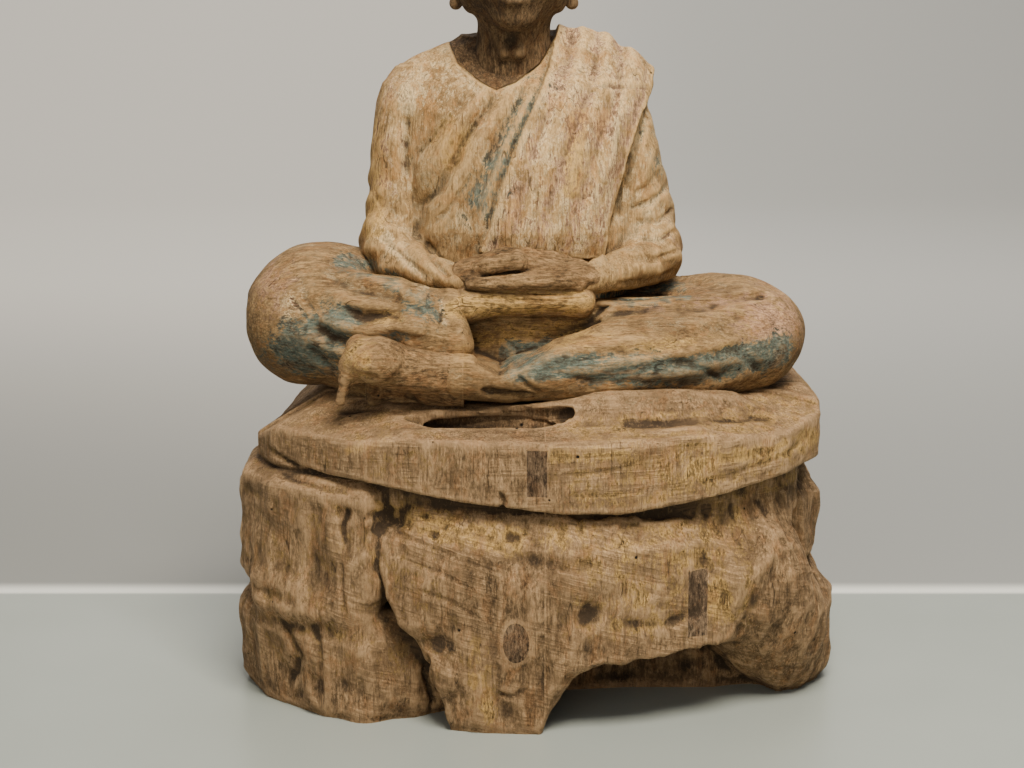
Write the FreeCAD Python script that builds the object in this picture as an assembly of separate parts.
"""Seated monk Buddha of joined, carved and painted wood on a stepped rockwork base.

Frame: millimetres, +Z up, the figure looks along -Y, origin on the floor under the middle of the base.
The figure and base are joined from separate carved blocks, held by wooden dowels and iron staples.
Only the head (lifts up) and the cover of the dedication cavity (pulls out to the rear) are loose.
"""
import FreeCAD, Part
import math
import os

os.makedirs("parts", exist_ok=True)

Vector = FreeCAD.Vector

# ---- driving dimensions -------------------------------------------------------------------------
SEAT_Z = 158.0            # flat top of the base that the figure stands on
LEDGE_BOTTOM_Z = 112.0    # underside of the projecting upper step
FIGURE_X = -13.0          # the figure sits a little to its right of the middle of the base
BASE_SEAM_X = 0.0         # upright joint between the two base blocks
LAP_SEAM_X = -40.0        # upright joint between the two leg blocks
TORSO_SEAM_Y = 22.0       # upright joint between the front and back boards of the torso
RIGHT_ARM_X = -68.0       # joint face of the right arm
LEFT_ARM_X = 42.0         # joint face of the left arm
ARM_BOTTOM_Z = 212.0      # the sleeves rest on the thighs at this height
CHIN_Z = 341.0
HEAD_X = -15.0
DOWEL_RADIUS = 4.0
LOOSE_GAP = 0.3           # gap around the loose pieces
FAR = 400.0               # larger than the object, for cutting planes
FACETS = 14               # flat facets around each rounded body

CAVITY_WIDTH = 50.0
CAVITY_HEIGHT = 54.0
CAVITY_BOTTOM_Z = 236.0
CAVITY_DEPTH = 18.0
COVER_MARGIN = 5.0        # rebate that the cover rests on, all round

pieces = {}


# ---- shape helpers ------------------------------------------------------------------------------
def box(x0, x1, y0, y1, z0, z1):
    """Box between two corners."""
    return Part.makeBox(x1 - x0, y1 - y0, z1 - z0, Vector(x0, y0, z0))


def flat_face(points):
    """Flat face through corner points."""
    return Part.Face(Part.makePolygon(points + points[:1]))


def skin(rings):
    """Closed solid of flat facets over a row of rings with equal point counts. The two end rings are flat."""
    faces = [flat_face(rings[0]), flat_face(rings[-1])]
    for lower, upper in zip(rings, rings[1:]):
        for index in range(len(lower)):
            following = (index + 1) % len(lower)
            a, b, c, d = lower[index], lower[following], upper[following], upper[index]
            normal = (b - a).cross(c - a)
            if abs(normal.dot(d - a)) < 1e-6 * max(normal.Length, 1e-9):
                faces.append(flat_face([a, b, c, d]))
            else:
                faces.append(flat_face([a, b, c]))
                faces.append(flat_face([a, c, d]))
    solid = Part.Solid(Part.Shell(faces))
    if solid.Volume < 0:
        solid.reverse()
    return solid


def oval_ring(centre, side, up, half_side, half_up, power, count=FACETS):
    """Points of a rounded (power 2) to boxy (power 3 and more) oval."""
    points = []
    for step in range(count):
        angle = 2 * math.pi * (step + 0.5) / count
        c, s = math.cos(angle), math.sin(angle)
        a = math.copysign(abs(c) ** (2 / power), c) * half_side
        b = math.copysign(abs(s) ** (2 / power), s) * half_up
        points.append(centre + side * a + up * b)
    return points


def ellipsoid(centre, radii):
    """Faceted ellipsoid with its axes along X, Y and Z."""
    rings = []
    steps = FACETS // 2
    for step in range(steps):
        polar = math.pi * (step + 0.5) / steps
        middle = Vector(centre[0], centre[1], centre[2] - radii[2] * math.cos(polar))
        width, depth = radii[0] * math.sin(polar), radii[1] * math.sin(polar)
        rings.append(oval_ring(middle, Vector(1, 0, 0), Vector(0, 1, 0), width, depth, 2.0))
    return skin(rings)


def upright(levels, power=2.0):
    """Body of level ovals. Each level is (z, centre x, centre y, half width, half depth)."""
    rings = []
    for z, x, y, half_width, half_depth in levels:
        rings.append(oval_ring(Vector(x, y, z), Vector(1, 0, 0), Vector(0, 1, 0), half_width, half_depth, power))
    return skin(rings)


def limb(stations, power=2.2):
    """Body that runs through stations (x, y, z, half width, half height), cut square to its path."""
    places = [Vector(*station[:3]) for station in stations]
    rings = []
    for index, station in enumerate(stations):
        before = places[max(index - 1, 0)]
        after = places[min(index + 1, len(places) - 1)]
        along = (after - before).normalize()
        side = along.cross(Vector(0, 0, 1)).normalize()
        up = side.cross(along)
        rings.append(oval_ring(places[index], side, up, station[3], station[4], power))
    return skin(rings)


def rock(levels):
    """Rock with carved facets. Each level is (z, outline in x and y)."""
    return skin([[Vector(x, y, z) for x, y in outline] for z, outline in levels])


def slab(layers):
    """Rock face with carved facets. Each layer is (y, outline in x and z)."""
    return skin([[Vector(x, y, z) for x, z in outline] for y, outline in layers])


def inset(outline, factor):
    """The outline drawn in towards its own middle."""
    middle_a = sum(point[0] for point in outline) / len(outline)
    middle_b = sum(point[1] for point in outline) / len(outline)
    return [(middle_a + (a - middle_a) * factor, middle_b + (b - middle_b) * factor) for a, b in outline]


def main_solid(shape):
    """The largest solid of a boolean result."""
    return max(shape.Solids, key=lambda solid: solid.Volume)


def joined(shapes):
    """Several overlapping shapes as one solid."""
    return main_solid(shapes[0].fuse(shapes[1:]))


def carve(shape, *neighbours):
    """The shape without the room that its neighbours take."""
    return main_solid(shape.cut(list(neighbours)))


# ---- base: two blocks, an upper step over rock lobes ------------------------------------------------
RIM = [(-138, 70), (-150, 12), (-149, -34), (-118, -72), (-80, -102), (-40, -109), (0, -113), (45, -110),
       (90, -97), (124, -74), (143, -40), (146, 10), (138, 64), (95, 98), (0, 110), (-90, 98)]
CORE_FOOT = [(-134, 82), (-150, 20), (-146, -22), (-122, -48), (-88, -62), (-45, -64), (0, -52), (45, -46),
             (90, -46), (120, -36), (148, -22), (152, 15), (140, 74), (95, 104), (0, 114), (-90, 104)]


def base_body():
    """The whole base before it is split at the seam."""
    step = rock([(LEDGE_BOTTOM_Z - 6, inset(RIM, 0.90)), (LEDGE_BOTTOM_Z + 6, inset(RIM, 0.985)),
                 (146, RIM), (153, inset(RIM, 0.96)), (SEAT_Z, inset(RIM, 0.88))])
    core = rock([(0, CORE_FOOT), (50, inset(CORE_FOOT, 0.97)), (LEDGE_BOTTOM_Z, inset(RIM, 0.90))])

    upper_left = [(-100, 40), (-140, 34), (-160, 4), (-158, -44), (-122, -78), (-88, -100), (-72, -84)]
    lower_left = [(-90, 40), (-138, 42), (-160, 6), (-159, -36), (-138, -68), (-108, -92), (-70, -86)]
    lower_right = [(100, 60), (100, -44), (112, -58), (134, -52), (154, -26), (159, 12), (147, 54)]
    side_right = [(104, 40), (110, -34), (138, -30), (150, -4), (150, 26), (138, 44)]
    back_left = [(-120, 60), (-40, 60), (-34, 104), (-62, 118), (-104, 108)]
    back_right = [(20, 60), (122, 50), (120, 92), (78, 116), (34, 112)]
    lobes = [
        rock([(56, inset(upper_left, 0.88)), (68, upper_left), (96, upper_left), (108, inset(upper_left, 0.88))]),
        rock([(0, inset(lower_left, 0.97)), (12, lower_left), (38, lower_left), (53, inset(lower_left, 0.84))]),
        rock([(0, inset(lower_right, 0.94)), (20, lower_right), (42, lower_right), (60, inset(lower_right, 0.8))]),
        rock([(56, inset(side_right, 0.8)), (70, side_right), (92, side_right), (106, inset(side_right, 0.8))]),
        rock([(0, inset(back_left, 0.97)), (30, back_left), (84, inset(back_left, 0.86))]),
        rock([(0, inset(back_right, 0.97)), (44, back_right), (98, inset(back_right, 0.84))]),
    ]

    face = [(-86, 110), (-78, 68), (-62, 42), (-54, 24), (-44, 0), (-4, 0), (10, 26), (26, 36),
            (60, 40), (98, 44), (96, 62), (122, 86), (64, 100), (0, 106)]
    bevel = [(x * 0.98, z * 0.97) for x, z in face]
    front = [(x * 0.93 - 1, z * 0.90) for x, z in face]
    face_mass = slab([(-40, face), (-104, face), (-112, bevel), (-118, front)])

    pocket_x0, pocket_x1 = -69, 12
    pocket = limb([(pocket_x0, -84, SEAT_Z, 3, 6), (pocket_x0 + 14, -86, SEAT_Z, 9, 12),
                   (pocket_x1 - 20, -88, SEAT_Z, 9, 12), (pocket_x1, -88, SEAT_Z, 3, 6)])
    return joined([core, step, face_mass] + lobes).cut(pocket)


base = base_body()
pieces["base_left"] = main_solid(base.common(box(-FAR, BASE_SEAM_X, -FAR, FAR, 0, FAR)))
pieces["base_right"] = main_solid(base.common(box(BASE_SEAM_X, FAR, -FAR, FAR, 0, FAR)))


def inlay(name, cutter):
    """A piece let into the front of the base, flush with the carved surface."""
    pieces[name] = main_solid(base.common(cutter))
    for block in ("base_left", "base_right"):
        if pieces[block].common(cutter).Volume > 0.01:
            pieces[block] = carve(pieces[block], cutter)


INLAY_BACK_Y = -100.0
inlay("ledge_key", box(-9, 1, -FAR, INLAY_BACK_Y, 121, 144))
inlay("square_plug", box(71, 81, -FAR, INLAY_BACK_Y, 47, 80))
oval = Part.Wire(Part.Ellipse(Vector(0, 0, 0), 10, 6.5).toShape())
oval.rotate(Vector(0, 0, 0), Vector(0, 1, 0), 90)
oval.rotate(Vector(0, 0, 0), Vector(0, 0, 1), 90)
oval.translate(Vector(-14, -FAR, 48))
inlay("oval_plug", Part.Face(oval).extrude(Vector(0, FAR + INLAY_BACK_Y, 0)))

# ---- torso: front and back boards ---------------------------------------------------------------
torso = upright([
    (SEAT_Z, FIGURE_X, 18, 64, 44),
    (196, FIGURE_X, 16, 62, 44),
    (232, FIGURE_X, 9, 60, 47),
    (272, FIGURE_X, 8, 62, 45),
    (302, FIGURE_X, 9, 64, 39),
    (317, FIGURE_X, 10, 63, 31),
    (327, FIGURE_X, 12, 54, 22),
    (334, HEAD_X, 12, 34, 15),
], power=2.6)
shoulder_roll = limb([(-4, 18, 328, 14, 10), (12, 14, 331, 18, 12), (34, 11, 324, 20, 12), (52, 10, 318, 16, 10)])
torso = joined([torso, shoulder_roll])
torso = torso.cut([box(-FAR, RIGHT_ARM_X, -FAR, FAR, ARM_BOTTOM_Z, FAR),
                   box(LEFT_ARM_X, FAR, -FAR, FAR, ARM_BOTTOM_Z, FAR)])
torso_front = main_solid(torso.common(box(-FAR, FAR, -FAR, TORSO_SEAM_Y, 0, FAR)))
torso_back = main_solid(torso.common(box(-FAR, FAR, TORSO_SEAM_Y, FAR, 0, FAR)))

# Dedication cavity in the back, closed by a cover that rests on a rebate.
cavity_x0 = FIGURE_X - CAVITY_WIDTH / 2
cavity_x1 = FIGURE_X + CAVITY_WIDTH / 2
cavity_z1 = CAVITY_BOTTOM_Z + CAVITY_HEIGHT
cover_y = TORSO_SEAM_Y + CAVITY_DEPTH + 2
cavity = box(cavity_x0, cavity_x1, TORSO_SEAM_Y + 2, FAR, CAVITY_BOTTOM_Z, cavity_z1)
rebate = box(cavity_x0 - COVER_MARGIN, cavity_x1 + COVER_MARGIN, cover_y, FAR,
             CAVITY_BOTTOM_Z - COVER_MARGIN, cavity_z1 + COVER_MARGIN)
cover_room = COVER_MARGIN - LOOSE_GAP
cover_block = box(cavity_x0 - cover_room, cavity_x1 + cover_room, cover_y + LOOSE_GAP, FAR,
                  CAVITY_BOTTOM_Z - cover_room, cavity_z1 + cover_room)
pieces["cavity_cover"] = main_solid(torso_back.common(cover_block))
pieces["torso_back"] = carve(torso_back, cavity, rebate)

# ---- head, neck and bare chest in one piece ---------------------------------------------------------
NECKLINE = [(-53, 346), (-48, 332), (-44, 324), (-32, 315), (-24, 311), (-14, 315), (-2, 324), (7, 338), (9, 346)]


def chest_wedge(gap):
    """Wedge that the chest fills in the neckline, made smaller by the gap on every side."""
    outline = []
    for x, z in NECKLINE:
        outline.append((x + gap if x < -24 else x - gap, z + 1.5 * gap if z < CHIN_Z else z))
    back_y = TORSO_SEAM_Y - gap
    return flat_face([Vector(x, -FAR, z) for x, z in outline]).extrude(Vector(0, back_y + FAR, 0))


TENON_CENTRE = (-22.0, -2.0)
TENON_RADIUS = 9.0
TENON_BOTTOM_Z = 284.0


def neck_tenon(radius, bottom_z):
    """Round tenon under the chest."""
    return Part.makeCylinder(radius, 318 - bottom_z, Vector(TENON_CENTRE[0], TENON_CENTRE[1], bottom_z))


chest = torso_front.common(chest_wedge(LOOSE_GAP))
neck = upright([(322, HEAD_X, 3, 24, 17), (334, HEAD_X, 3, 20, 18), (352, HEAD_X, 0, 20, 20)])
neck = neck.cut(torso_front.cut(chest_wedge(0.0)))
neck = neck.common(box(-FAR, FAR, -FAR, TORSO_SEAM_Y - LOOSE_GAP, 0, FAR))
skull = upright([
    (CHIN_Z, HEAD_X, -22, 7, 6),
    (345, HEAD_X, -15, 15, 16),
    (355, HEAD_X, -7, 23, 29),
    (370, HEAD_X, -3, 28, 36),
    (386, HEAD_X, 0, 30, 38),
    (402, HEAD_X, 1, 30, 38),
    (415, HEAD_X, 2, 26, 33),
    (424, HEAD_X, 3, 17, 23),
    (429, HEAD_X, 4, 6, 10),
])
hair = ellipsoid((HEAD_X, 4, 401), (32.5, 38.5, 30)).common(box(-FAR, FAR, -33, FAR, 392, FAR))
crown = ellipsoid((HEAD_X, 7, 425), (16, 17, 16))
nose = rock([(366, [(-20, -40), (-10, -40), (-12, -30), (-18, -30)]),
             (369, [(-20, -43), (-10, -43), (-12, -30), (-18, -30)]),
             (389, [(-17, -39), (-13, -39), (-13, -30), (-17, -30)])])
ears = []
for side in (-1, 1):
    ears.append(ellipsoid((HEAD_X + side * 30, 6, 373), (4, 8, 20)))
head = joined([skull, hair, crown, nose, neck, chest] + ears + [neck_tenon(TENON_RADIUS, TENON_BOTTOM_Z)])
pieces["head"] = head
socket = neck_tenon(TENON_RADIUS + LOOSE_GAP, TENON_BOTTOM_Z - 1)
pieces["torso_front"] = carve(torso_front, chest_wedge(0.0), socket)
robe = pieces["torso_front"]

# ---- arms: upper arm with sleeve, and forearm ------------------------------------------------------
right_arm = joined([
    upright([(216, -78, 2, 16, 22), (232, -78, 3, 17, 25), (255, -76, 6, 16, 26), (282, -74, 8, 17, 27),
             (304, -71, 9, 17, 26), (318, -69, 10, 15, 22), (327, -66, 11, 9, 12)], power=2.4),
    limb([(-84, 4, 226, 18, 13), (-72, -24, 224, 15, 12), (-58, -42, 221, 12, 10), (-40, -50, 219, 10, 8)]),
])
left_arm = joined([
    upright([(214, 53, 2, 16, 20), (228, 55, 3, 17, 24), (250, 52, 6, 16, 25), (280, 47, 8, 15, 27),
             (302, 44, 9, 15, 26), (318, 43, 10, 14, 22), (328, 40, 11, 8, 12)], power=2.4),
    limb([(58, 4, 223, 17, 12), (48, -24, 222, 14, 12), (34, -42, 220, 12, 9), (18, -50, 218, 10, 8)]),
])
above_thigh = box(-FAR, FAR, -FAR, FAR, ARM_BOTTOM_Z, FAR)
pieces["right_arm"] = carve(right_arm.common(above_thigh), robe, pieces["torso_back"], head)
pieces["left_arm"] = carve(left_arm.common(above_thigh), robe, pieces["torso_back"], head)
arms = [pieces["right_arm"], pieces["left_arm"]]

# ---- hands and the two feet ------------------------------------------------------------------------
hands = limb([(-46, -46, 222, 9, 6), (-30, -51, 222, 13, 8), (-8, -53, 223, 14, 8), (12, -51, 221, 12, 8),
              (25, -46, 219, 8, 6)])
pieces["hands"] = carve(hands.common(above_thigh), robe, *arms)
right_foot = limb([(-46, -54, 206, 9, 9), (-34, -55, 206, 10, 10), (-10, -56, 204, 9, 8), (14, -55, 206, 10, 9),
                   (25, -53, 208, 7, 8)], power=2.8)
pieces["right_foot"] = carve(right_foot, robe, pieces["hands"], *arms)
above_seat = box(-FAR, FAR, -FAR, FAR, SEAT_Z, FAR)
left_foot = limb([(-34, -76, 174, 9, 12), (-56, -78, 174, 13, 15), (-80, -80, 172, 13, 14), (-96, -78, 170, 10, 10),
                  (-101, -77, 169, 6, 6)])
pieces["left_foot"] = main_solid(left_foot.common(above_seat))
small_blocks = [pieces["hands"], pieces["right_foot"], pieces["left_foot"]]

# ---- crossed legs: two blocks that meet at the lap seam -----------------------------------------------
right_leg = joined([
    ellipsoid((-117, -15, 196), (39, 46, 41)),
    limb([(-40, 34, 190, 36, 30), (-84, 8, 196, 36, 33), (-114, -12, 197, 34, 34)]),
    limb([(-122, -24, 188, 28, 30), (-92, -46, 188, 26, 27), (-62, -58, 188, 19, 24), (-36, -60, 190, 15, 22)]),
    upright([(SEAT_Z - 2, -74, -14, 36, 44), (182, -74, -14, 42, 50)], power=3.0),
    box(-84, -36, -52, 20, SEAT_Z - 2, 200),
])
left_leg = joined([
    ellipsoid((101, -12, 187), (38, 43, 31)),
    limb([(10, 34, 188, 36, 30), (60, 10, 190, 34, 27), (98, -10, 187, 34, 28)]),
    limb([(106, -26, 181, 26, 27), (70, -52, 181, 20, 25), (35, -65, 179, 15, 22), (0, -73, 175, 12, 18),
          (-20, -77, 171, 10, 14), (-26, -78, 170, 6, 9)]),
    upright([(SEAT_Z - 2, 30, -10, 72, 46), (178, 30, -10, 80, 50)], power=3.0),
    box(-44, 60, -44, 20, SEAT_Z - 4, 206),
])
torso_blocks = [robe, pieces["torso_back"]]
right_side = box(-FAR, LAP_SEAM_X, -FAR, FAR, SEAT_Z, FAR)
left_side = box(LAP_SEAM_X, FAR, -FAR, FAR, SEAT_Z, FAR)
pieces["right_leg"] = carve(right_leg.common(right_side), *torso_blocks, *arms, *small_blocks)
pieces["left_leg"] = carve(left_leg.common(left_side), *torso_blocks, *arms, *small_blocks)


# ---- dowels and staples, each in a real hole --------------------------------------------------------
def dowel(middle, direction, length, radius=DOWEL_RADIUS):
    """Round peg with chamfered ends."""
    along = Vector(*direction).normalize()
    start = Vector(*middle) - along * (length / 2)
    chamfer = radius * 0.25
    tip = Part.makeCone(radius - chamfer, radius, chamfer, start, along)
    shank = Part.makeCylinder(radius, length - 2 * chamfer, start + along * chamfer, along)
    tail = Part.makeCone(radius, radius - chamfer, chamfer, start + along * (length - chamfer), along)
    return joined([tip, shank, tail])


def peg(name, blocks, pegs):
    """One node of pegs, with their holes bored in the blocks that they join."""
    pieces[name] = Part.makeCompound(pegs)
    for block in blocks:
        pieces[block] = carve(pieces[block], *pegs)


across, forward, vertical = (1, 0, 0), (0, 1, 0), (0, 0, 1)
peg("torso_dowels", ["torso_front", "torso_back"],
    [dowel((x, TORSO_SEAM_Y, z), forward, 26) for x in (-52, 26) for z in (180, 212, 306)])
peg("arm_dowels", ["torso_front", "right_arm", "left_arm"],
    [dowel((x, 4, z), across, 24) for x in (RIGHT_ARM_X, LEFT_ARM_X) for z in (256, 294)])
peg("leg_dowels", ["torso_front", "right_leg", "left_leg"],
    [dowel((x, y, 186), forward, 24) for x, y in ((-62, -20), (-8, -28), (24, -24))])
peg("lap_dowels", ["right_leg", "left_leg"],
    [dowel((LAP_SEAM_X, -35, z), across, 20) for z in (170, 190)])
peg("hand_dowel", ["torso_front", "hands"], [dowel((-12, -40, 224), forward, 14, 2.5)])
peg("foot_dowels", ["right_foot", "left_foot", "left_leg", "right_leg"],
    [dowel((x, -45, 202), forward, 12, 2.5) for x in (-30, 10)] + [dowel((-70, -64, 170), forward, 14, 2.5)])
peg("base_dowels", ["base_left", "base_right"],
    [dowel((BASE_SEAM_X, y, z), across, 50, 7) for y in (-40, 50) for z in (60, 130)])
peg("seat_dowels", ["base_left", "base_right", "right_leg", "left_leg", "torso_back"],
    [dowel((x, y, SEAT_Z), vertical, 26, 5) for x, y in ((-90, -20), (76, -20), (FIGURE_X - 20, 42), (18, 42))])

STAPLE_LENGTH, STAPLE_LEG, STAPLE_WIDTH, STAPLE_THICK = 70.0, 28.0, 8.0, 4.0
staples = []
for y in (-10, 70):
    half = STAPLE_LENGTH / 2
    y0, y1 = y - STAPLE_WIDTH / 2, y + STAPLE_WIDTH / 2
    recess_z = 2.0
    bar = box(-half, half, y0, y1, recess_z, recess_z + STAPLE_THICK)
    left_spike = box(-half, -half + STAPLE_THICK, y0, y1, recess_z, STAPLE_LEG)
    right_spike = box(half - STAPLE_THICK, half, y0, y1, recess_z, STAPLE_LEG)
    staples.append(joined([bar, left_spike, right_spike]))
    recess = box(-half, half, y0, y1, -1, recess_z + STAPLE_THICK)
    for block in ("base_left", "base_right"):
        pieces[block] = carve(pieces[block], recess)
peg("base_staples", ["base_left", "base_right"], staples)

for name, shape in pieces.items():
    shape.exportStep("parts/" + name + ".step")
